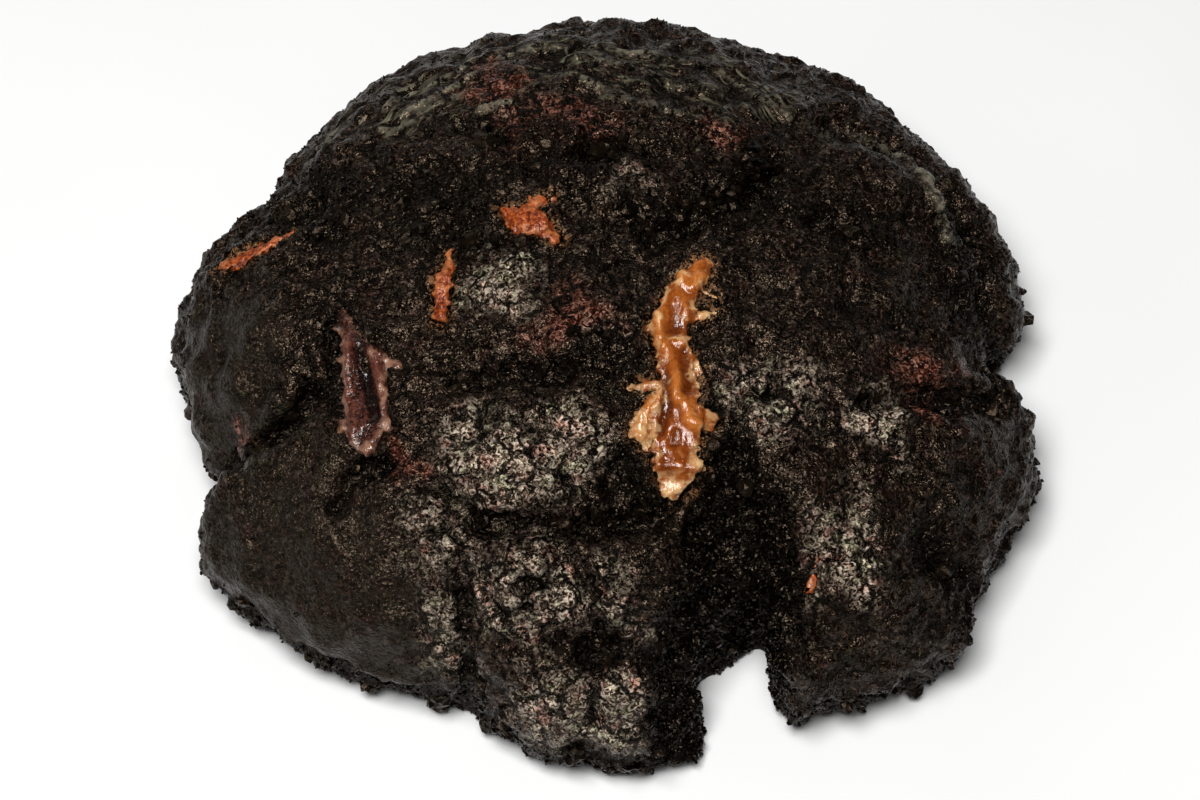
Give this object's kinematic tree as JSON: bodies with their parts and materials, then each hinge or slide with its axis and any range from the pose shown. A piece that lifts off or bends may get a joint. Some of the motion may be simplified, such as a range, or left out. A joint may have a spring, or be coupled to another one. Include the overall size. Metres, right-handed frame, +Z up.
{
  "type": "double chocolate chip cookie",
  "caption": "Thick, craggy, nearly black double chocolate cookie with melted milk chocolate chips and a broken front that shows its crumb.",
  "frame": {"origin": "middle of the flat underside, below the middle of the cookie's outline box", "axes": "+Z up; -Y towards the front, where the cookie is broken; +X to the right as seen from the front"},
  "size_m": [0.1078, 0.1004, 0.0353],
  "materials": {
    "baked_dough": "rough baked crust with greasy highlights",
    "milk_chocolate": "melted and set again, glossy",
    "dark_milk_chocolate": "melted and set again, glossy"
  },
  "bodies": {
    "root": {"cookie": "baked_dough", "chip_long": "milk_chocolate", "chip_back": "milk_chocolate", "chip_slim": "milk_chocolate", "chip_edge": "milk_chocolate", "chip_front": "milk_chocolate", "chip_dark": "dark_milk_chocolate"}
  },
  "joints": []
}
